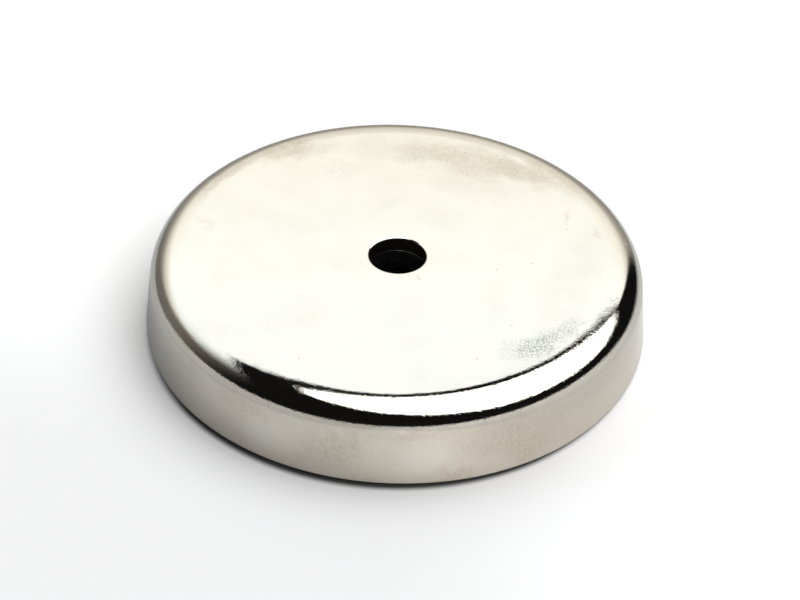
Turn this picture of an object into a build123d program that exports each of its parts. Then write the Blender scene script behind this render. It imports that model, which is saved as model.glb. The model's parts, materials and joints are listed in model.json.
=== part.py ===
from build123d import *
from math import cos, radians, sin, tan
import os

# Pot magnet: a cup drawn from steel sheet, a ferrite ring magnet inside it and the epoxy film between them.
# The origin is the centre of the rim, on the surface that the magnet grips. +Z runs along the axis to the
# cup's flat back. Lengths are in millimetres and angles in degrees.

# Cup
rim_diameter = 80.0        # outside, measured at the foot of the wall
cup_height = 12.5          # rim face to back
sheet_thickness = 2.5
wall_flare = 5.0           # the wall leans out towards the rim, as the draw leaves it
crown_radius = 17.0        # outside, the back first turns down along this gentle arc
crown_angle = 5.0          # and turns this far on it
corner_radius = 4.0        # before this tighter arc runs on into the wall
rim_outer_bevel = 0.5      # edges of the trimmed rim
rim_inner_bevel = 0.3

# Screw hole, punched from the back
screw_hole_diameter = 9.0  # clears an M8 screw
punch_rollover = 0.3       # the punch draws the hole's edge in to this radius

# Ring magnet, ground flat on both faces
head_ledge = 6.5           # bare cup floor round the screw hole, for the screw's head
magnet_chamfer = 0.8
face_recess = 0.3          # the magnet's face sits this far inside the rim

# Epoxy
bond_film = 0.2            # thickness between the magnet and the cup's floor

# Places that the pieces share
rim_radius = rim_diameter / 2
hole_radius = screw_hole_diameter / 2
floor_z = cup_height - sheet_thickness
bend_radius = corner_radius - sheet_thickness    # inside the corner, where the sheet keeps its thickness


def wall_radius(inset, z):
    """Radius at height z of the cone that lies inset below the outside of the wall."""
    return rim_radius - inset / cos(radians(wall_flare)) - z * tan(radians(wall_flare))


bend_z = floor_z - bend_radius
bend_r = wall_radius(corner_radius, bend_z)      # the floor is flat out to here
bore_radius = hole_radius + head_ledge
magnet_radius = bend_r + magnet_chamfer          # so the magnet's flat face covers the floor's flat
magnet_top = floor_z - bond_film


def outside_line():
    """Section of the cup's outside: flat back, crown arc, corner arc and wall, each tangent to the next."""
    crown_z = cup_height - crown_radius
    arc_step = crown_radius - corner_radius
    corner_z = crown_z + arc_step * cos(radians(crown_angle))
    corner_r = wall_radius(corner_radius, corner_z)
    crown_r = corner_r - arc_step * sin(radians(crown_angle))
    corner_angle = 90 - crown_angle - wall_flare
    back = Line((hole_radius, cup_height), (crown_r, cup_height))
    CenterArc((crown_r, crown_z), crown_radius, 90, -crown_angle)
    corner = CenterArc((corner_r, corner_z), corner_radius, 90 - crown_angle, -corner_angle)
    wall = Line(corner @ 1, (rim_radius, 0))
    return back @ 0, wall @ 1


def inside_line():
    """Section of the cup's inside: flat floor, bend and wall, parallel to the outside."""
    floor = Line((hole_radius, floor_z), (bend_r, floor_z))
    bend = CenterArc((bend_r, bend_z), bend_radius, 90, wall_flare - 90)
    wall = Line(bend @ 1, (wall_radius(sheet_thickness, 0), 0))
    return floor @ 0, wall @ 1


def drawn_cup():
    """Steel cup with a bevelled rim and a punched screw hole."""
    with BuildPart() as cup:
        with BuildSketch(Plane.XZ) as section:
            with BuildLine():
                back_edge, rim_outer_edge = outside_line()
                floor_edge, rim_inner_edge = inside_line()
                Line(rim_outer_edge, rim_inner_edge)
                Line(back_edge, floor_edge)
            make_face()
            chamfer(section.vertices().sort_by_distance(rim_outer_edge)[0], rim_outer_bevel)
            chamfer(section.vertices().sort_by_distance(rim_inner_edge)[0], rim_inner_bevel)
            fillet(section.vertices().sort_by_distance(back_edge)[0], punch_rollover)
        revolve(axis=Axis.Z)
    return cup.part


def ring_magnet():
    """Sintered ferrite ring with a chamfer on each of its four edges."""
    with BuildPart() as ring:
        with BuildSketch(Plane.XZ) as section:
            with Locations(((bore_radius + magnet_radius) / 2, (face_recess + magnet_top) / 2)):
                Rectangle(magnet_radius - bore_radius, magnet_top - face_recess)
            chamfer(section.vertices(), magnet_chamfer)
        revolve(axis=Axis.Z)
    return ring.part


def epoxy_bond():
    """Cured epoxy film, as wide as the flat of the magnet that it holds to the cup's floor."""
    with BuildPart() as film:
        with BuildSketch(Plane.XY.offset(magnet_top)):
            Circle(magnet_radius - magnet_chamfer)
            Circle(bore_radius + magnet_chamfer, mode=Mode.SUBTRACT)
        extrude(amount=bond_film)
    return film.part


os.makedirs("parts", exist_ok=True)
export_step(drawn_cup(), "parts/cup.step")
export_step(ring_magnet(), "parts/ring_magnet.step")
export_step(epoxy_bond(), "parts/epoxy_bond.step")
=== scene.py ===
import json
import math

import bmesh
import bpy
from mathutils import Matrix, Vector


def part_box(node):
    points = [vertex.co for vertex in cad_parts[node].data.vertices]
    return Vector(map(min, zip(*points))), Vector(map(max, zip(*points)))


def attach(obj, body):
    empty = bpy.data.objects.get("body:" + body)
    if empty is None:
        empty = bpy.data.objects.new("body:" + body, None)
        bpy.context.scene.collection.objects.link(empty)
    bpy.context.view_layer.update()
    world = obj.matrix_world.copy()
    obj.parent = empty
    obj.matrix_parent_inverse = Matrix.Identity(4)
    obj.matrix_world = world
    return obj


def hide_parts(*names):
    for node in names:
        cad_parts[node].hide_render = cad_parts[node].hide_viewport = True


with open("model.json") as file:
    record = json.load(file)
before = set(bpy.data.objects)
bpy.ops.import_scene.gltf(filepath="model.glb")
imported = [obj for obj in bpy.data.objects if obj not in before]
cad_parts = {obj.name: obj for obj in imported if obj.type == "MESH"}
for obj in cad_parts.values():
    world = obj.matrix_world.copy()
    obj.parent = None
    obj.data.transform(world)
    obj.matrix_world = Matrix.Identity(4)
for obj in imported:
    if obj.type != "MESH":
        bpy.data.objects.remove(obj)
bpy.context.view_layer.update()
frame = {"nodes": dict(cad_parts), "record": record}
print("Loaded the frame:", ", ".join(sorted(frame["nodes"])))

# Pot magnet: a nickel plated cup, the ferrite ring magnet inside it and the epoxy that holds the two
# together. Shapes are drawn in millimetres and turned to metres when they are done.

mm = 0.001
turnSteps = 256           # faces round every turned piece
sharpFrom = 35            # degrees between two faces
smoothly = {"interpolation_type": "SMOOTHSTEP"}
spotCore = 0.2            # share of a soft patch that has its full strength
noiseSpan = (0.25, 0.75)  # nearly all of a noise lies between these


def hexColour(code):
    # sRGB hex to linear, with an alpha of 1
    channels = [int(code[place:place + 2], 16) / 255 for place in (0, 2, 4)]
    return [c / 12.92 if c <= 0.04045 else ((c + 0.055) / 1.055) ** 2.4 for c in channels] + [1.0]


def addNode(tree, kind, settings=None, links=None):
    # settings are the node's own choices; links name its sockets, each with a value or with what feeds it
    node = tree.nodes.new(kind)
    for name, value in (settings or {}).items():
        setattr(node, name, value)
    for name, value in (links or {}).items():
        if isinstance(name, str):
            name = next(at for at, socket in enumerate(node.inputs)
                        if socket.enabled and socket.name == name)
        if isinstance(value, bpy.types.Node):
            value = next(socket for socket in value.outputs if socket.enabled)
        if isinstance(value, bpy.types.NodeSocket):
            tree.links.new(value, node.inputs[name])
        else:
            node.inputs[name].default_value = value
    return node


def newMaterial(name, shaderLinks):
    material = bpy.data.materials.new(name)
    material.use_nodes = True
    tree = material.node_tree
    tree.nodes.clear()
    shader = addNode(tree, "ShaderNodeBsdfPrincipled", links=shaderLinks(tree))
    addNode(tree, "ShaderNodeOutputMaterial", links={"Surface": shader})
    return material


# Sizes that come from the frame

def mountSize(name, size):
    mount = next(mount for mount in frame["record"]["mounts"] if mount["name"] == name)
    return mount["dims"][size]


def nodeReach(node):
    # outer radius, lowest and highest place of a turned node, in millimetres
    low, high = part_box(node)
    return high.x / mm, low.z / mm, high.z / mm


cupRadius, rimHeight, backHeight = nodeReach("cup")
magnetRadius, magnetFace, magnetTop = nodeReach("ring_magnet")
filmLow, floorHeight = nodeReach("epoxy_bond")[1:]  # the film lies on the cup's inner floor
holeRadius = mountSize("screw_hole", "r_mm")
boreRadius = mountSize("head_pocket", "r_mm")


# Drawing a section: one vertex is the pen, which extrude takes along a line and spin takes round an arc

def penDown(shape, radius, height):
    return shape.verts.new((radius, 0, height))


def lineTo(shape, pen, radius, height):
    pen = bmesh.ops.extrude_vert_indiv(shape, verts=[pen])["verts"][0]
    pen.co = (radius, 0, height)
    return pen


def arcRound(shape, pen, centreRadius, centreHeight, degrees, steps):
    turned = bmesh.ops.spin(shape, geom=[pen], cent=(centreRadius, 0, centreHeight), axis=(0, 1, 0),
                            angle=math.radians(degrees), steps=steps, use_merge=False)
    return next(part for part in turned["geom_last"] if isinstance(part, bmesh.types.BMVert))


def closeSection(shape, sharp, rounding):
    # joins the two ends, then rounds the corners that are never left sharp
    ends = [vert for vert in shape.verts if len(vert.link_edges) == 1]
    bmesh.ops.contextual_create(shape, geom=ends)
    bmesh.ops.bevel(shape, geom=sharp, offset=rounding, offset_type="OFFSET", segments=3,
                    affect="VERTICES", profile=0.5, material=-1)


def turnPiece(shape, name, material, node):
    # spins the section round the axis into a closed mesh, which stands for its CAD node
    bmesh.ops.spin(shape, geom=shape.verts[:] + shape.edges[:], cent=(0, 0, 0), axis=(0, 0, 1),
                   angle=math.tau, steps=turnSteps, use_merge=True)
    bmesh.ops.recalc_face_normals(shape, faces=shape.faces[:])
    bmesh.ops.scale(shape, vec=(mm, mm, mm), verts=shape.verts[:])
    for face in shape.faces:
        face.smooth = True
    mesh = bpy.data.meshes.new(name)
    shape.to_mesh(mesh)
    shape.free()
    mesh.set_sharp_from_angle(angle=math.radians(sharpFrom))
    mesh.materials.append(material)
    piece = bpy.data.objects.new(name, mesh)
    bpy.context.scene.collection.objects.link(piece)
    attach(piece, "root")
    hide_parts(node)
    print("Made", name, "with", len(mesh.polygons), "faces")


# Places on a turned surface, for its material

def turnedPlaces(tree):
    # the place, its radius and height, and the surface unrolled: round the rim in X and Y, down it in Z
    coords = addNode(tree, "ShaderNodeTexCoord")
    place = addNode(tree, "ShaderNodeVectorMath", {"operation": "SCALE"},
                    {0: coords.outputs["Object"], "Scale": 1 / mm})
    flat = addNode(tree, "ShaderNodeVectorMath", {"operation": "MULTIPLY"}, {0: place, 1: (1, 1, 0)})
    radius = addNode(tree, "ShaderNodeVectorMath", {"operation": "LENGTH"}, {0: flat})
    height = addNode(tree, "ShaderNodeSeparateXYZ", links={0: place}).outputs["Z"]
    along = addNode(tree, "ShaderNodeVectorMath", {"operation": "NORMALIZE"}, {0: flat})
    along = addNode(tree, "ShaderNodeVectorMath", {"operation": "SCALE"}, {0: along, "Scale": cupRadius})
    down = addNode(tree, "ShaderNodeMath", {"operation": "SUBTRACT"}, {0: radius, 1: height})
    down = addNode(tree, "ShaderNodeCombineXYZ", links={"Z": down})
    unrolled = addNode(tree, "ShaderNodeVectorMath", {"operation": "ADD"}, {0: along, 1: down})
    return {"place": place, "radius": radius, "height": height, "unrolled": unrolled}


def grain(tree, places, width, length, detail):
    # noise whose grains have this width round the part and this length down it, in millimetres
    scaled = addNode(tree, "ShaderNodeMapping", links={
        "Vector": places, "Scale": (1 / width, 1 / width, 1 / length)})
    return addNode(tree, "ShaderNodeTexNoise", links={"Vector": scaled, "Scale": 1.0, "Detail": detail})


def spots(tree, places, marks):
    # soft patches with their marks' places on the unrolled surface, added up
    total = 0.0
    for degrees, down, width, length, strength in marks:
        angle = math.radians(degrees)
        scale = (1 / width, 1 / width, 1 / length)
        centre = (-cupRadius * math.cos(angle) / width, -cupRadius * math.sin(angle) / width, -down / length)
        away = addNode(tree, "ShaderNodeVectorMath", {"operation": "MULTIPLY_ADD"},
                       {0: places, 1: scale, 2: centre})
        away = addNode(tree, "ShaderNodeVectorMath", {"operation": "LENGTH"}, {0: away})
        spot = addNode(tree, "ShaderNodeMapRange", smoothly, {
            "Value": away, "From Min": 1.0, "From Max": spotCore, "To Min": 0.0, "To Max": strength})
        total = addNode(tree, "ShaderNodeMath", {"operation": "ADD"}, {0: spot, 1: total})
    return total


# Cup: bright nickel plate on steel sheet that was drawn in a press. It mirrors like chrome but warmer, with
# a fine peel where the sheet was bent. The die rubbed the wall satin, and a thin brown film has settled on
# it in patches.

nickel = {
    "cleanColour": "DCD8CE",
    "filmColour": "C4BAAC",
    "punchAndShadeColour": "3A3630",      # thin plate in the torn wall of the hole, darkened further by painted shade inside the hole
    "flatFilm": 0.06,             # share of the film on the flat back
    "wallFilm": 0.34,             # and on the wall
    "patchiness": 0.6,            # how far the film's share goes up and down between its own patches
    "patchSize": 9.0,             # mm
    "speckle": 0.36,              # mm, grain inside a patch, twice as long up the wall
    "speckleContrast": 0.45,
    "raggedGrain": 2.5,           # mm, grain of the ragged edges of marks
    "raggedReach": 5.0,           # mm, how far they wander
    "scuffColour": "8C8B88",      # fine scratches of the flat, one by one too small to show
    "scuffSpeckle": 0.2,          # mm
    "scuffNoise": (0.4, 0.65),    # noise where a scratch starts and where it is full
    "flatRoughness": 0.035,
    "wallRoughness": 0.08,
    "filmRoughness": 0.08,        # on top of the others
    "punchRoughness": 0.5,
    "pitRoughness": 0.3,
    "peelWidth": 0.25,            # mm, stretched grain of the steel round the corner
    "peelLength": 0.3,            # mm
    "peelHeight": 0.014,          # mm
    "waveWidth": 6.0,             # mm, the sheet is never quite even
    "waveHeight": 0.014,          # mm
    "streakWidth": 0.3,           # mm, draw marks down the wall; real ones are finer than a render can show
    "streakLength": 4.0,          # mm
    "streakHeight": 0.0012,       # mm
    "pitSpacing": 4.0,            # mm
    "pitSize": 0.1,               # mm
    "pitDepth": 0.05,             # mm
    "pitSoftness": 0.5,           # share of the size over which a pit's edge fades in or out
    # each zone runs from one radius or height to another, and its share from one value to another
    "zones": {
        "wall": ("height", 11.4, 10.2, 0.0, 1.0),       # film, satin and streaks
        "crown": ("radius", 32.6, 34.4, 0.02, 1.0),     # the flat back has next to no peel
        "corner": ("radius", 36.0, 37.8, 0.26, 1.0),    # the crown has some and the corner most
        "unironed": ("height", 6.0, 9.5, 0.3, 1.0),     # and the die has flattened it on the wall
        "holeWall": ("radius", holeRadius + 0.16, holeRadius + 0.06, 0.0, 1.0),
        "aboveBreakout": ("height", floorHeight + 0.06, floorHeight + 0.14, 0.0, 1.0),
    },
    # marks: degrees round the axis, radius less height in mm, half width, half length, strength
    "scuffs": [(309, 16.5, 6.5, 3.2, 0.35), (317, 18.2, 8.0, 3.4, 1.0), (328, 19.4, 5.5, 2.4, 0.6),
               (114, 12.0, 6.0, 5.0, 0.18), (84, 15.5, 9.0, 4.5, 0.15)],
    "films": [
        # on the flat
        (81, 16.5, 11, 5.0, 0.5), (65, 16.5, 13, 6.5, 0.65), (50, 18.6, 10, 4.0, 0.75),
        (62, 10.5, 17, 6.0, 0.25), (41, 21.4, 9, 3.4, 0.5), (24, 17.0, 2.0, 0.8, 0.4),
        (14, 20.4, 1.6, 1.2, 0.3), (100, 17.0, 9, 5.0, 0.25), (118, 19.5, 9, 3.5, 0.45),
        (125, 21.0, 8, 3.0, 0.7), (146, 22.4, 11, 1.2, 0.4), (168, 19.0, 3, 2.4, 0.3),
        (301, -6.0, 4.0, 0.6, 0.4), (347, 15.0, 20, 8.0, 0.15),
        # on the wall, where some places are cleaner
        (256, 35.0, 7.5, 6.0, 0.32), (262, 32.0, 1.0, 3.0, 0.3), (259, 31.0, 1.2, 1.6, -0.4),
        (274, 30.3, 8, 1.6, 0.25), (277, 35.4, 6.0, 4.5, -0.4), (243, 35.2, 6.5, 5.0, -0.35),
        (298, 33.0, 12, 6.5, 0.32), (285, 38.6, 4.0, 2.2, 0.3), (304, 37.0, 8, 3.5, 0.2),
        (236, 31.5, 8, 2.2, 0.2), (216, 34.0, 9, 6.0, 0.2), (264, 39.2, 4.0, 1.2, 0.3),
    ],
}


def nickelPlate(tree):
    at = turnedPlaces(tree)
    zones = {}
    for name, (along, start, end, before, after) in nickel["zones"].items():
        zones[name] = addNode(tree, "ShaderNodeMapRange", smoothly, {
            "Value": at[along], "From Min": start, "From Max": end, "To Min": before, "To Max": after})
    # the torn wall of the hole: rougher plate, and a dark colour that is partly painted shade inside the
    # hole
    punchedAndShaded = addNode(tree, "ShaderNodeMath", {"operation": "MULTIPLY"},
                      {0: zones["holeWall"], 1: zones["aboveBreakout"]})

    # film: its marks with ragged edges, on top of patches all over
    reach = nickel["raggedReach"]
    ragged = grain(tree, at["place"], nickel["raggedGrain"], nickel["raggedGrain"], detail=5.0)
    ragged = addNode(tree, "ShaderNodeVectorMath", {"operation": "MULTIPLY_ADD"}, {
        0: ragged.outputs["Color"], 1: (reach, reach, reach), 2: at["unrolled"]})
    ragged = addNode(tree, "ShaderNodeVectorMath", {"operation": "SUBTRACT"}, {
        0: ragged, 1: (reach / 2, reach / 2, reach / 2)})
    settled = addNode(tree, "ShaderNodeMapRange", links={
        "Value": zones["wall"], "To Min": nickel["flatFilm"], "To Max": nickel["wallFilm"]})
    patches = grain(tree, at["place"], nickel["patchSize"], nickel["patchSize"], detail=4.0)
    patches = addNode(tree, "ShaderNodeMath", {"operation": "SUBTRACT"}, {0: patches, 1: 0.5})
    patches = addNode(tree, "ShaderNodeMath", {"operation": "MULTIPLY"}, {
        0: patches, 1: nickel["patchiness"]})
    film = spots(tree, ragged, nickel["films"])
    for part in (settled, patches):
        film = addNode(tree, "ShaderNodeMath", {"operation": "ADD"}, {0: film, 1: part})
    low, high = noiseSpan
    speckle = grain(tree, at["place"], nickel["speckle"], nickel["speckle"] * 2, detail=3.0)
    speckle = addNode(tree, "ShaderNodeMapRange", links={
        "Value": speckle, "From Min": low, "From Max": high,
        "To Min": 1 - nickel["speckleContrast"], "To Max": 1 + nickel["speckleContrast"]})
    film = addNode(tree, "ShaderNodeMath", {"operation": "MULTIPLY", "use_clamp": True}, {
        0: film, 1: speckle})

    # scuffs, all speckle
    low, high = nickel["scuffNoise"]
    scuffed = spots(tree, ragged, nickel["scuffs"])
    speckle = grain(tree, at["place"], nickel["scuffSpeckle"], nickel["scuffSpeckle"], detail=1.0)
    speckle = addNode(tree, "ShaderNodeMapRange", links={
        "Value": speckle, "From Min": low, "From Max": high})
    scuffed = addNode(tree, "ShaderNodeMath", {"operation": "MULTIPLY"}, {0: scuffed, 1: speckle})

    # a few tiny pits where the plate has not taken
    cells = addNode(tree, "ShaderNodeTexVoronoi", links={
        "Vector": at["place"], "Scale": 1 / nickel["pitSpacing"]})
    pitSize = nickel["pitSize"] / nickel["pitSpacing"]
    pits = addNode(tree, "ShaderNodeMapRange", smoothly, {
        "Value": cells.outputs["Distance"],
        "From Min": pitSize * (1 + nickel["pitSoftness"]),
        "From Max": pitSize * (1 - nickel["pitSoftness"])})

    # heights in millimetres: peel at the corner, slow waves everywhere, and streaks on the wall
    peelShare = 1.0
    for name in ("corner", "unironed", "crown"):
        peelShare = addNode(tree, "ShaderNodeMath", {"operation": "MULTIPLY"}, {
            0: peelShare, 1: zones[name]})
    peel = grain(tree, at["unrolled"], nickel["peelWidth"], nickel["peelLength"], detail=0.0)
    waves = grain(tree, at["place"], nickel["waveWidth"], nickel["waveWidth"], detail=2.0)
    streaks = grain(tree, at["unrolled"], nickel["streakWidth"], nickel["streakLength"], detail=2.0)
    heights = 0.0
    for pattern, share, size in (
        (peel, peelShare, nickel["peelHeight"]),
        (waves, 1.0, nickel["waveHeight"]),
        (streaks, zones["wall"], nickel["streakHeight"]),
        (pits, 1.0, -nickel["pitDepth"]),
    ):
        size = addNode(tree, "ShaderNodeMath", {"operation": "MULTIPLY"}, {0: share, 1: size})
        heights = addNode(tree, "ShaderNodeMath", {"operation": "MULTIPLY_ADD"}, {
            0: pattern, 1: size, 2: heights})
    bump = addNode(tree, "ShaderNodeBump", links={"Strength": 1.0, "Distance": mm, "Height": heights})

    colour = hexColour(nickel["cleanColour"])
    for share, code in (
        (film, nickel["filmColour"]),
        (scuffed, nickel["scuffColour"]),
        (punchedAndShaded, nickel["punchAndShadeColour"]),
    ):
        colour = addNode(tree, "ShaderNodeMix", {"data_type": "RGBA"}, {
            "Factor": share, "A": colour, "B": hexColour(code)})
    roughness = addNode(tree, "ShaderNodeMapRange", links={
        "Value": zones["wall"], "To Min": nickel["flatRoughness"], "To Max": nickel["wallRoughness"]})
    for share, more in (
        (film, nickel["filmRoughness"]),
        (punchedAndShaded, nickel["punchRoughness"]),
        (pits, nickel["pitRoughness"]),
    ):
        roughness = addNode(tree, "ShaderNodeMath", {"operation": "MULTIPLY_ADD"}, {
            0: share, 1: more, 2: roughness})
    return {
        "Base Color": colour,
        "Metallic": 1.0,
        "Roughness": roughness,
        "Normal": bump,
    }


cup = {
    "wallFlare": 5.0,         # degrees, the wall leans out towards the rim
    "crownRadius": 23.0,      # the back first turns down along this gentle arc
    "crownAngle": 5.0,        # degrees
    "cornerRadius": 4.0,      # then this tighter arc runs on into the wall
    "widest": 0.5,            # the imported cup's radius is measured this far up its wall
    "footHeight": 0.5,        # from there down the wall stands upright
    "footRounding": 0.15,
    "lipRounding": 0.3,       # inside the rim
    "rollover": 0.3,          # the punch draws the hole's edge in to this radius
    "dishWidth": 0.6,         # and pulls a little of the back down with it
    "dishDepth": 0.005,
    "dishStart": (0.0375, 0.0047),   # its first ring, out from the rollover and below the back
    "breakout": 0.05,         # rounding of the hole's lower edge
    "shadingRing": 0.15,      # a ring this close to the end of a flat keeps its reflections flat
    "arcSteps": {"rollover": 8, "crown": 6, "corner": 27, "foot": 6, "lip": 6, "bend": 12},
}


def drawnCup():
    flare = math.radians(cup["wallFlare"])
    crown = math.radians(cup["crownAngle"])
    sheet = backHeight - floorHeight
    bendRadius = cup["cornerRadius"] - sheet
    footRadius = cupRadius + cup["widest"] * math.sin(flare)

    def wallRadius(inset, height):
        # radius of the cone that lies inset below the outside of the wall
        return footRadius - inset / math.cos(flare) - height * math.tan(flare)

    crownHeight = backHeight - cup["crownRadius"]
    toCorner = cup["crownRadius"] - cup["cornerRadius"]
    cornerHeight = crownHeight + toCorner * math.cos(crown)
    cornerRadius = wallRadius(cup["cornerRadius"], cornerHeight)
    cornerTurn = 90 - cup["crownAngle"] - cup["wallFlare"]
    crownRadius = cornerRadius - toCorner * math.sin(crown)
    bendHeight = floorHeight - bendRadius
    bendCentre = wallRadius(cup["cornerRadius"], bendHeight)
    foot = cup["footRounding"]
    footOutside = wallRadius(0, cup["footHeight"])
    lip = cup["lipRounding"]
    lipCentre = wallRadius(sheet - lip, lip)
    rolloverRadius = holeRadius + cup["rollover"]
    rolloverHeight = backHeight - cup["rollover"] - cup["dishDepth"]
    dishOut, dishDrop = cup["dishStart"]
    dishEnd = rolloverRadius + cup["dishWidth"]
    ring = cup["shadingRing"]
    steps = cup["arcSteps"]

    shape = bmesh.new()
    holeFoot = penDown(shape, holeRadius, floorHeight)
    pen = lineTo(shape, holeFoot, holeRadius, rolloverHeight)
    pen = arcRound(shape, pen, rolloverRadius, rolloverHeight, 90, steps["rollover"])
    pen = lineTo(shape, pen, rolloverRadius + dishOut, backHeight - dishDrop)
    for radius in (dishEnd, dishEnd + ring, crownRadius - ring, crownRadius):
        pen = lineTo(shape, pen, radius, backHeight)
    pen = arcRound(shape, pen, crownRadius, crownHeight, cup["crownAngle"], steps["crown"])
    pen = arcRound(shape, pen, cornerRadius, cornerHeight, cornerTurn, steps["corner"])
    pen = lineTo(shape, pen, wallRadius(0, pen.co.z - ring), pen.co.z - ring)
    pen = lineTo(shape, pen, footOutside, cup["footHeight"])
    pen = lineTo(shape, pen, footOutside, foot)
    pen = arcRound(shape, pen, footOutside - foot, foot, 90, steps["foot"])
    pen = lineTo(shape, pen, lipCentre, rimHeight)
    pen = arcRound(shape, pen, lipCentre, lip, 90 - cup["wallFlare"], steps["lip"])
    pen = lineTo(shape, pen, bendCentre + bendRadius * math.cos(flare),
                 bendHeight + bendRadius * math.sin(flare))
    arcRound(shape, pen, bendCentre, bendHeight, cup["wallFlare"] - 90, steps["bend"])
    closeSection(shape, [holeFoot], cup["breakout"])
    material = newMaterial("brightNickelOnDrawnSteel", nickelPlate)
    turnPiece(shape, "drawnCup", material, "cup")


drawnCup()


# Ring magnet: sintered ferrite, a dull dark grey ceramic. Both faces are ground flat, which leaves straight
# marks, and its edges chip.

ferrite = {
    "colour": "333335",
    "dustColour": "4A4847",
    "dustSize": 6.0,          # mm
    "dustNoise": (0.4, 0.7),  # noise where dust starts and where it is thickest
    "dustShare": 0.8,
    "roughness": 0.6,
    "grindWidth": 0.25,       # mm between the wheel's marks, coarser than they are, so that they show
    "grindLength": 30.0,      # mm
    "grindHeight": 0.004,     # mm
    "grindAngle": 20,         # degrees
    "chipSize": 0.9,          # mm
    "chipDepth": 0.12,        # mm
    "chipNoise": (0.58, 0.64),
    "chipReach": (1.9, 0.6),  # mm from the magnet's sides, where chips begin and where they are full
    "chipGloss": 0.25,        # how much smoother a fresh break is
    "poreSize": 0.35,         # mm
    "poreDepth": 0.02,        # mm
    "poreNoise": (0.68, 0.74),
}


def groundFerrite(tree):
    at = turnedPlaces(tree)
    marks = addNode(tree, "ShaderNodeMapping", links={
        "Vector": at["place"], "Rotation": (0, 0, math.radians(ferrite["grindAngle"])),
        "Scale": (1 / ferrite["grindLength"], 1 / ferrite["grindWidth"], 1.0)})
    marks = addNode(tree, "ShaderNodeTexNoise", links={"Vector": marks, "Scale": 1.0, "Detail": 2.0})

    patterns = {}
    for name, detail in (("chip", 3.0), ("pore", 2.0), ("dust", 5.0)):
        size = ferrite[name + "Size"]
        start, full = ferrite[name + "Noise"]
        patterns[name] = addNode(tree, "ShaderNodeMapRange", smoothly, {
            "Value": grain(tree, at["place"], size, size, detail), "From Min": start, "From Max": full})

    # chips are bites out of the outer and the inner edges
    begin, full = ferrite["chipReach"]
    edges = [addNode(tree, "ShaderNodeMapRange", smoothly, {
        "Value": at["radius"], "From Min": side + inwards * begin, "From Max": side + inwards * full})
        for side, inwards in ((magnetRadius, -1), (boreRadius, 1))]
    atEdge = addNode(tree, "ShaderNodeMath", {"operation": "MAXIMUM"}, {0: edges[0], 1: edges[1]})
    chips = addNode(tree, "ShaderNodeMath", {"operation": "MULTIPLY"}, {0: patterns["chip"], 1: atEdge})

    heights = 0.0
    for pattern, size in (
        (marks, ferrite["grindHeight"]),
        (chips, -ferrite["chipDepth"]),
        (patterns["pore"], -ferrite["poreDepth"]),
    ):
        heights = addNode(tree, "ShaderNodeMath", {"operation": "MULTIPLY_ADD"}, {
            0: pattern, 1: size, 2: heights})
    bump = addNode(tree, "ShaderNodeBump", links={"Strength": 1.0, "Distance": mm, "Height": heights})
    dusty = addNode(tree, "ShaderNodeMath", {"operation": "MULTIPLY"}, {
        0: patterns["dust"], 1: ferrite["dustShare"]})
    colour = addNode(tree, "ShaderNodeMix", {"data_type": "RGBA"}, {
        "Factor": dusty, "A": hexColour(ferrite["colour"]), "B": hexColour(ferrite["dustColour"])})
    roughness = addNode(tree, "ShaderNodeMath", {"operation": "MULTIPLY_ADD"}, {
        0: chips, 1: -ferrite["chipGloss"], 2: ferrite["roughness"]})
    return {
        "Base Color": colour,
        "Roughness": roughness,
        "Normal": bump,
    }


ringMagnet = {
    "chamfer": 0.8,
    "edgeRounding": 0.12,
}


def groundRing():
    shape = bmesh.new()
    chamfer = ringMagnet["chamfer"]
    corners = [penDown(shape, boreRadius + chamfer, magnetFace)]
    for radius, height in (
        (magnetRadius - chamfer, magnetFace),
        (magnetRadius, magnetFace + chamfer),
        (magnetRadius, magnetTop - chamfer),
        (magnetRadius - chamfer, magnetTop),
        (boreRadius + chamfer, magnetTop),
        (boreRadius, magnetTop - chamfer),
        (boreRadius, magnetFace + chamfer),
    ):
        corners.append(lineTo(shape, corners[-1], radius, height))
    closeSection(shape, corners, ringMagnet["edgeRounding"])
    material = newMaterial("groundSinteredFerrite", groundFerrite)
    turnPiece(shape, "ringMagnet", material, "ring_magnet")


groundRing()


# Epoxy: a film between the magnet and the cup's floor, pressed out into a bead at both of the magnet's
# chamfers. It was poured and cured, so it is glossy, dark brown and a little uneven.

epoxy = {
    "colour": "2A2622",
    "thinColour": "4A3D2E",   # where it is thin enough for light to shine into it
    "thinSize": 2.5,          # mm
    "thinNoise": (0.4, 0.7),  # noise where it gets thin and where it is thinnest
    "roughness": (0.16, 0.31),
    "rippleSize": 1.6,        # mm
    "rippleHeight": 0.04,     # mm
    "beadSag": 0.35,          # mm, how far a bead hangs over the magnet's chamfer
    "beadCreep": 0.7,         # mm, how far the inner one has run in along the cup's floor
    "beadEdge": 0.05,         # mm, the outer one's side ends this far below the film
    "beadRounding": 0.06,
}


def curedEpoxy(tree):
    unrolled = turnedPlaces(tree)["unrolled"]
    ripple = grain(tree, unrolled, epoxy["rippleSize"], epoxy["rippleSize"], detail=2.0)
    bump = addNode(tree, "ShaderNodeBump", links={
        "Strength": 1.0, "Distance": epoxy["rippleHeight"] * mm, "Height": ripple})
    start, full = epoxy["thinNoise"]
    thin = grain(tree, unrolled, epoxy["thinSize"], epoxy["thinSize"], detail=3.0)
    thin = addNode(tree, "ShaderNodeMapRange", smoothly, {
        "Value": thin, "From Min": start, "From Max": full})
    colour = addNode(tree, "ShaderNodeMix", {"data_type": "RGBA"}, {
        "Factor": thin, "A": hexColour(epoxy["colour"]), "B": hexColour(epoxy["thinColour"])})
    smooth, rough = epoxy["roughness"]
    roughness = addNode(tree, "ShaderNodeMapRange", links={
        "Value": ripple, "To Min": smooth, "To Max": rough})
    return {
        "Base Color": colour,
        "Roughness": roughness,
        "Normal": bump,
    }


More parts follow.
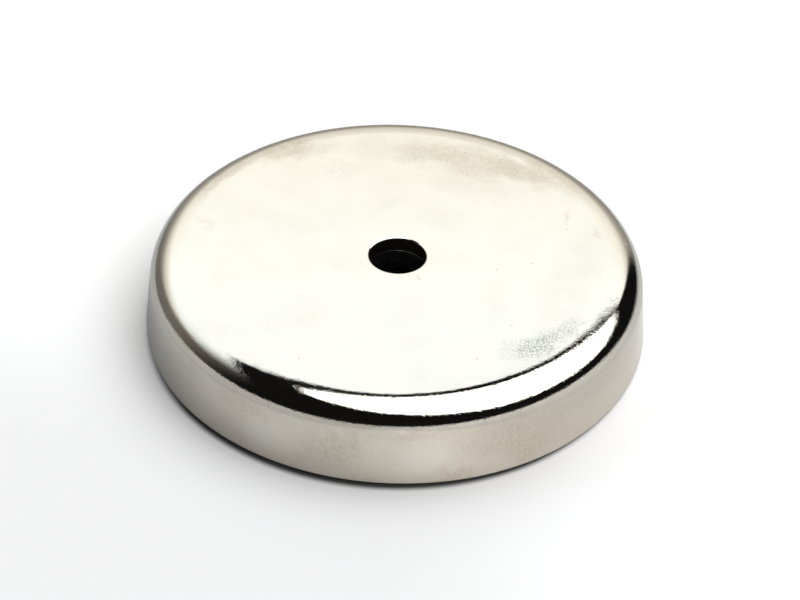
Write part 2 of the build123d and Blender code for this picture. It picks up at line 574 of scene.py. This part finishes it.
def bondFilm():
    # the film's section, with a bead at each end that lies on the magnet's chamfer
    shape = bmesh.new()
    sag = epoxy["beadSag"]
    innerEdge = boreRadius + ringMagnet["chamfer"]
    outerEdge = magnetRadius - ringMagnet["chamfer"]
    innerBead = penDown(shape, innerEdge - sag, filmLow - sag)
    pen = lineTo(shape, innerBead, innerEdge, filmLow)
    pen = lineTo(shape, pen, outerEdge, filmLow)
    outerBead = lineTo(shape, pen, outerEdge + sag, filmLow - sag)
    outerTop = lineTo(shape, outerBead, outerEdge + sag, filmLow - epoxy["beadEdge"])
    pen = lineTo(shape, outerTop, outerEdge, floorHeight)
    lineTo(shape, pen, innerEdge - epoxy["beadCreep"], floorHeight)
    closeSection(shape, [innerBead, outerBead, outerTop], epoxy["beadRounding"])
    material = newMaterial("curedCastingEpoxy", curedEpoxy)
    turnPiece(shape, "epoxyBond", material, "epoxy_bond")


bondFilm()


# Studio: panels of light in the world, a pale floor and two fill panels. Azimuth 0 is behind the part (+Y)
# and 90 is at its right (+X). Places are (azimuth, elevation) in degrees. Heights, fades and blurs are
# measured on a sphere of radius 1.

studio = {
    # corners, each with the blur of the edge that follows it
    "softbox": [(-13.4, 57.1, 0.003), (-5.6, 49.2, 0.003), (-0.6, 45.9, 0.003),
                (2.4, 44.3, 0.003), (6.9, 42.9, 0.003), (11.5, 42.3, 0.003),
                (38.7, 38.0, 0.006), (47.2, 35.4, 0.006), (63.1, 31.1, 0.006),
                (73.2, 30.0, 0.006), (86.3, 32.8, 0.006), (107.6, 38.5, 0.006),
                (124.9, 43.6, 0.006), (150.5, 58.7, 0.006), (-169.0, 72.5, 0.006),
                (-114.0, 78.9, 0.004), (-53.3, 72.4, 0.004)],
    "softboxLight": 2.5,

    # a backdrop behind the part, paler towards its top, seen below the softbox across a dark gap
    "backdropInside": (-20, 25),
    "backdropTop": [(-13.1, 48.6), (1.5, 40.6), (3.4, 40.0), (23.9, 39.0)],
    "backdropTopBlur": 0.003,
    "backdropShoulder": [(-82.5, 52.5), (-33.2, 55.0), (-12.4, 47.0)],
    "backdropShoulderBlur": 0.006,
    "backdropRight": [(25.6, 37.0), (34.5, 0.0)],
    "backdropRightBlur": 0.04,
    "backdropLeft": [(-44.5, 16.0), (-78.6, 38.4)],
    "backdropLeftBlur": 0.12,
    "backdropMiddle": (20, 0),
    "backdropFade": (-0.32, 0.32),      # reach towards its middle where it starts and where it is full
    "backdropShades": [(0.17, "000000"), (0.34, "5B5A56"), (0.45, "979691"), (0.52, "ABAAA7"),
                       (0.57, "C1C3BE"), (0.62, "C6CFD6")],   # height, colour
    "backdropLight": 1.74,

    # the wall far behind it, faint and warm
    "farWallColour": "FFF8EE",
    "farWallLight": 0.42,
    "farWallFade": (-0.35, 0.45),
    "farWallSide": (-0.75, -0.2),       # from the left to where it is full
    "farWallLeft": 0.45,                # share of its light at the left

    # a low white wall in front, under the camera
    "lowWallTop": 0.126,
    "lowWallTilt": 0.12,                # it is this much higher in front
    "lowWallBlur": 0.012,
    "lowWallFade": (-0.5, 0.1),
    "lowWallSide": (-0.3, 0.6),
    "lowWallLight": (0.62, 0.9),        # left, right
    "dark": 0.007,                      # what is left of light everywhere else
}


def direction(azimuth, elevation):
    a = math.radians(azimuth)
    e = math.radians(elevation)
    return Vector((math.cos(e) * math.sin(a), math.cos(e) * math.cos(a), math.sin(e)))


behind = direction(0, 0)
inFront = direction(180, 0)


def studioWorld():
    world = bpy.data.worlds.new("studioWorld")
    bpy.context.scene.world = world
    world.use_nodes = True
    tree = world.node_tree
    tree.nodes.clear()
    ray = addNode(tree, "ShaderNodeTexCoord").outputs["Generated"]
    axes = addNode(tree, "ShaderNodeSeparateXYZ", links={0: ray})

    def beyond(normal, low, high):
        # 0 where the ray's reach along the normal is low, 1 where it is high
        reach = addNode(tree, "ShaderNodeVectorMath", {"operation": "DOT_PRODUCT"}, {0: ray, 1: normal})
        return addNode(tree, "ShaderNodeMapRange", smoothly, {
            "Value": reach, "From Min": low, "From Max": high})

    def edge(corner, following, inside, blur):
        # 1 on the inner side of the line through two corners
        normal = direction(*corner).cross(direction(*following)).normalized()
        return beyond(normal if normal.dot(inside) > 0 else -normal, -blur, blur)

    def masked(strength, masks):
        for mask in masks:
            strength = addNode(tree, "ShaderNodeMath", {"operation": "MULTIPLY"}, {0: strength, 1: mask})
        return strength

    corners = studio["softbox"]
    centre = sum((direction(*corner[:2]) for corner in corners), Vector())
    softbox = masked(studio["softboxLight"], [
        edge(corner[:2], following[:2], centre, corner[2])
        for corner, following in zip(corners, corners[1:] + corners[:1])])

    inside = direction(*studio["backdropInside"])
    first, shoulder, last = studio["backdropShoulder"]
    below = masked(edge(shoulder, last, inside, studio["backdropShoulderBlur"]),
                   [edge(first, shoulder, inside, studio["backdropShoulderBlur"])])
    tops = studio["backdropTop"]
    for corner, following in zip(tops, tops[1:]):
        part = edge(corner, following, inside, studio["backdropTopBlur"])
        below = addNode(tree, "ShaderNodeMath", {"operation": "MAXIMUM"}, {0: below, 1: part})
    below = masked(below, [edge(*studio["backdropRight"], inside, studio["backdropRightBlur"])])
    shades = addNode(tree, "ShaderNodeValToRGB", links={"Fac": axes.outputs["Z"]})
    stops = shades.color_ramp.elements
    stops.remove(stops[1])
    for height, shade in studio["backdropShades"]:
        stops.new(height).color = hexColour(shade)
    stops.remove(stops[0])
    backdrop = masked(studio["backdropLight"], [
        below,
        edge(*studio["backdropLeft"], inside, studio["backdropLeftBlur"]),
        beyond(direction(*studio["backdropMiddle"]), *studio["backdropFade"])])

    left, full = studio["farWallSide"]
    side = addNode(tree, "ShaderNodeMapRange", smoothly, {
        "Value": axes.outputs["X"], "From Min": left, "From Max": full,
        "To Min": studio["farWallLeft"], "To Max": 1.0})
    farWall = masked(studio["farWallLight"], [below, side, beyond(behind, *studio["farWallFade"])])

    left, right = studio["lowWallSide"]
    leftLight, rightLight = studio["lowWallLight"]
    side = addNode(tree, "ShaderNodeMapRange", smoothly, {
        "Value": axes.outputs["X"], "From Min": left, "From Max": right,
        "To Min": leftLight, "To Max": rightLight})
    top = studio["lowWallTop"]
    blur = studio["lowWallBlur"]
    lowWall = masked(side, [
        beyond(Vector((0, -studio["lowWallTilt"], -1)), -top - blur, -top + blur),
        beyond(inFront, *studio["lowWallFade"])])

    white = hexColour("FFFFFF")
    light = addNode(tree, "ShaderNodeBackground", links={"Color": white, "Strength": studio["dark"]})
    for colour, strength in (
        (white, softbox),
        (shades, backdrop),
        (hexColour(studio["farWallColour"]), farWall),
        (white, lowWall),
    ):
        panel = addNode(tree, "ShaderNodeBackground", links={"Color": colour, "Strength": strength})
        light = addNode(tree, "ShaderNodeAddShader", links={0: light, 1: panel})

    # the camera sees plain white, and the plating still sees the studio
    plain = addNode(tree, "ShaderNodeBackground", links={"Color": white, "Strength": 1.0})
    path = addNode(tree, "ShaderNodeLightPath")
    seen = addNode(tree, "ShaderNodeMixShader", links={0: path.outputs["Is Camera Ray"], 1: light, 2: plain})
    addNode(tree, "ShaderNodeOutputWorld", links={"Surface": seen})


# Floor: matt white paper, which shows soft shadows and no highlight, with painted shade in its colour at the
# front left and round the rim. The plating sees it in tones of its own, painted shade and light for the
# paper's shading, and for the table and the room beyond the paper.

floor = {
    "radius": 3.0,              # m
    "drop": 0.2,                # mm below the rim
    "tilt": 0.2,                # degrees, the paper is not quite even and falls away
    "tiltTowards": 250,         # degrees round the axis, to the front left
    "colour": "FFFFFF",
    "frontShadeColour": "EBEBEC",    # painted shade, nearer to the camera, at the left
    "frontFade": (15.0, -35.0),   # mm along Y where it starts and where it is full
    "frontSide": (50.0, -5.0),    # and along X
    "roughness": 0.9,
    "specular": 0.2,

    # what the plating sees of it, painted shade and light at places from the left to the right in
    # millimetres
    "mirrored": [(-78, "C5C7CA"), (-58, "B6B9BD"), (-34, "CFD0D2"), (-10, "DCDBDA"),
                 (12, "F6F4F2"), (32, "E5E3E0"), (50, "D3D5D8"), (74, "DEDFE2")],
    "mirroredWidth": 160.0,       # mm
    "nearShare": (0.87, 1.05),    # share of that close to the wall, left and right: painted shade at the left, painted light at the right
    "nearSide": (-30.0, 10.0),    # mm along X
    "nearFade": (50.0, 41.0),     # mm from the axis
    "farShare": 0.22,             # far away behind the part
    "farFade": (55.0, 200.0),     # mm from the axis
    "farSpread": 0.35,            # what counts as behind reaches less far out at the sides
    "farBehind": (-20.0, 20.0),   # mm along Y

    # painted shade: the dark gap under the rim and the soft shadow that comes out of it
    "contact": 0.07,              # share of the light right at the rim, where the shade is painted
    "gapInset": 0.8,              # mm inside the rim
    "gapEdge": (0.6, 0.9),        # mm either side of it
    "contactAzimuth": 190,        # degrees, where the shadow is darkest
    "contactFade": (8.0, 30.0),   # mm towards there
    "shadowAzimuth": 196,         # and where it reaches furthest
    "shadowShift": 1.4,           # mm
    "shadowInset": 1.15,          # mm
    "shadowWidth": 1.3,           # mm
}


def mattPaper(tree):
    coords = addNode(tree, "ShaderNodeTexCoord")
    place = addNode(tree, "ShaderNodeVectorMath", {"operation": "SCALE"},
                    {0: coords.outputs["Object"], "Scale": 1 / mm})
    distance = addNode(tree, "ShaderNodeVectorMath", {"operation": "LENGTH"}, {0: place})
    axes = addNode(tree, "ShaderNodeSeparateXYZ", links={0: place})

    # what the camera sees: white paper with painted shade towards the front left
    front = 1.0
    for axis, (start, full) in (("Y", floor["frontFade"]), ("X", floor["frontSide"])):
        part = addNode(tree, "ShaderNodeMapRange", smoothly, {
            "Value": axes.outputs[axis], "From Min": start, "From Max": full})
        front = addNode(tree, "ShaderNodeMath", {"operation": "MULTIPLY"}, {0: front, 1: part})
    straight = addNode(tree, "ShaderNodeMix", {"data_type": "RGBA"}, {
        "Factor": front, "A": hexColour(floor["colour"]), "B": hexColour(floor["frontShadeColour"])})

    # what the plating sees: tones of painted shade and light from left to right, times a share that changes
    # with the distance
    halfWidth = floor["mirroredWidth"] / 2
    across = addNode(tree, "ShaderNodeMapRange", links={
        "Value": axes.outputs["X"], "From Min": -halfWidth, "From Max": halfWidth})
    mirrored = addNode(tree, "ShaderNodeValToRGB", links={"Fac": across})
    stops = mirrored.color_ramp.elements
    stops.remove(stops[1])
    for side, shade in floor["mirrored"]:
        stops.new(0.5 + side / floor["mirroredWidth"]).color = hexColour(shade)
    stops.remove(stops[0])
    left, right = floor["nearSide"]
    leftShare, rightShare = floor["nearShare"]
    nearWall = addNode(tree, "ShaderNodeMapRange", smoothly, {
        "Value": axes.outputs["X"], "From Min": left, "From Max": right,
        "To Min": leftShare, "To Max": rightShare})
    start, full = floor["nearFade"]
    near = addNode(tree, "ShaderNodeMapRange", smoothly, {
        "Value": distance, "From Min": start, "From Max": full, "To Min": 1.0, "To Max": nearWall})
    aside = addNode(tree, "ShaderNodeMath", {"operation": "ABSOLUTE"}, {0: axes.outputs["X"]})
    back = addNode(tree, "ShaderNodeMath", {"operation": "MULTIPLY_ADD"}, {
        0: aside, 1: -floor["farSpread"], 2: axes.outputs["Y"]})
    start, full = floor["farBehind"]
    back = addNode(tree, "ShaderNodeMapRange", smoothly, {
        "Value": back, "From Min": start, "From Max": full, "To Min": 1.0, "To Max": floor["farShare"]})
    start, full = floor["farFade"]
    share = addNode(tree, "ShaderNodeMapRange", links={
        "Value": distance, "From Min": start, "From Max": full, "To Min": near, "To Max": back})

    # the plating shows the dark gap under the rim as a ring of painted shade
    gap = addNode(tree, "ShaderNodeMath", {"operation": "SUBTRACT"}, {
        0: distance, 1: cupRadius - floor["gapInset"]})
    gap = addNode(tree, "ShaderNodeMath", {"operation": "ABSOLUTE"}, {0: gap})
    start, end = floor["gapEdge"]
    share = addNode(tree, "ShaderNodeMapRange", smoothly, {
        "Value": gap, "From Min": start, "From Max": end, "To Min": floor["contact"], "To Max": share})
    mirrored = addNode(tree, "ShaderNodeVectorMath", {"operation": "SCALE"}, {0: mirrored, "Scale": share})

    # and the camera a painted soft shadow that comes out of it in front
    facing = addNode(tree, "ShaderNodeVectorMath", {"operation": "DOT_PRODUCT"}, {
        0: place, 1: direction(floor["contactAzimuth"], 0)})
    start, full = floor["contactFade"]
    contact = addNode(tree, "ShaderNodeMapRange", links={
        "Value": facing.outputs["Value"], "From Min": start, "From Max": full,
        "To Min": 1.0, "To Max": floor["contact"]})
    shadow = addNode(tree, "ShaderNodeVectorMath", {"operation": "DISTANCE"}, {
        0: place, 1: direction(floor["shadowAzimuth"], 0) * floor["shadowShift"]})
    shadow = addNode(tree, "ShaderNodeMath", {"operation": "SUBTRACT"}, {
        0: shadow, 1: cupRadius - floor["shadowInset"]})
    shadow = addNode(tree, "ShaderNodeMapRange", smoothly, {
        "Value": shadow, "From Min": 0.0, "From Max": floor["shadowWidth"],
        "To Min": contact, "To Max": 1.0})
    straight = addNode(tree, "ShaderNodeVectorMath", {"operation": "SCALE"}, {0: straight, "Scale": shadow})

    path = addNode(tree, "ShaderNodeLightPath")
    colour = addNode(tree, "ShaderNodeMix", {"data_type": "RGBA"}, {
        "Factor": path.outputs["Is Camera Ray"], "A": mirrored, "B": straight})
    return {
        "Base Color": colour,
        "Roughness": floor["roughness"],
        "Specular IOR Level": floor["specular"],
    }


def studioFloor():
    shape = bmesh.new()
    bmesh.ops.create_circle(shape, cap_ends=True, segments=64, radius=floor["radius"])
    bmesh.ops.translate(shape, vec=(0, 0, -floor["drop"] * mm), verts=shape.verts[:])
    mesh = bpy.data.meshes.new("studioFloor")
    shape.to_mesh(mesh)
    shape.free()
    sheet = bpy.data.objects.new("studioFloor", mesh)
    bpy.context.scene.collection.objects.link(sheet)
    hinge = Matrix.Rotation(math.radians(floor["tiltTowards"]), 4, "Z") @ Vector((0, 1, 0))
    sheet.matrix_world = Matrix.Rotation(math.radians(floor["tilt"]), 4, hinge)
    mesh.materials.append(newMaterial("mattWhitePaper", mattPaper))


fill = {
    "elevation": 38,          # degrees
    "distance": 0.8,          # m
    "size": 0.5,              # m
    "panels": [(125, 1.1), (280, 0.5)],   # azimuth in degrees, power in W
}


def fillPanels():
    # they lift the floor's shadow at the front right and at the left; the plating doesn't show them
    for azimuth, power in fill["panels"]:
        lamp = bpy.data.lights.new("fillPanel", "AREA")
        lamp.size = fill["size"]
        lamp.energy = power
        panel = bpy.data.objects.new("fillPanel", lamp)
        toPanel = direction(azimuth, fill["elevation"])
        panel.location = toPanel * fill["distance"]
        panel.rotation_euler = toPanel.to_track_quat("Z", "Y").to_euler()
        panel.visible_glossy = False
        bpy.context.scene.collection.objects.link(panel)


studioFloor()
studioWorld()
fillPanels()
print("Made the studio")


# Camera

view = {
    "distance": 433.6,        # mm from the middle of the rim
    "elevation": 38.38,       # degrees
    "roll": 2.22,
    "right": -0.76,           # mm that the axis stands off the middle of the picture
    "up": -2.72,              # and below it
    "lens": 120.9,
    "sensor": 36,
    "nearest": 0.01,          # m
}


def addCamera():
    elevation = math.radians(view["elevation"])
    roll = math.radians(view["roll"])
    ahead = Vector((0, math.cos(elevation), -math.sin(elevation)))
    level = Vector((1, 0, 0))
    upright = level.cross(ahead)
    right = math.cos(roll) * level + math.sin(roll) * upright
    up = math.cos(roll) * upright - math.sin(roll) * level
    place = (-ahead * view["distance"] - right * view["right"] - up * view["up"]) * mm
    data = bpy.data.cameras.new("camera")
    data.lens = view["lens"]
    data.sensor_width = view["sensor"]
    data.clip_start = view["nearest"]
    camera = bpy.data.objects.new("camera", data)
    camera.matrix_world = Matrix.Translation(place) @ Matrix((right, up, -ahead)).transposed().to_4x4()
    bpy.context.scene.collection.objects.link(camera)
    bpy.context.scene.camera = camera
    print("Placed the camera")


addCamera()
bpy.context.scene.view_settings.view_transform = "Standard"
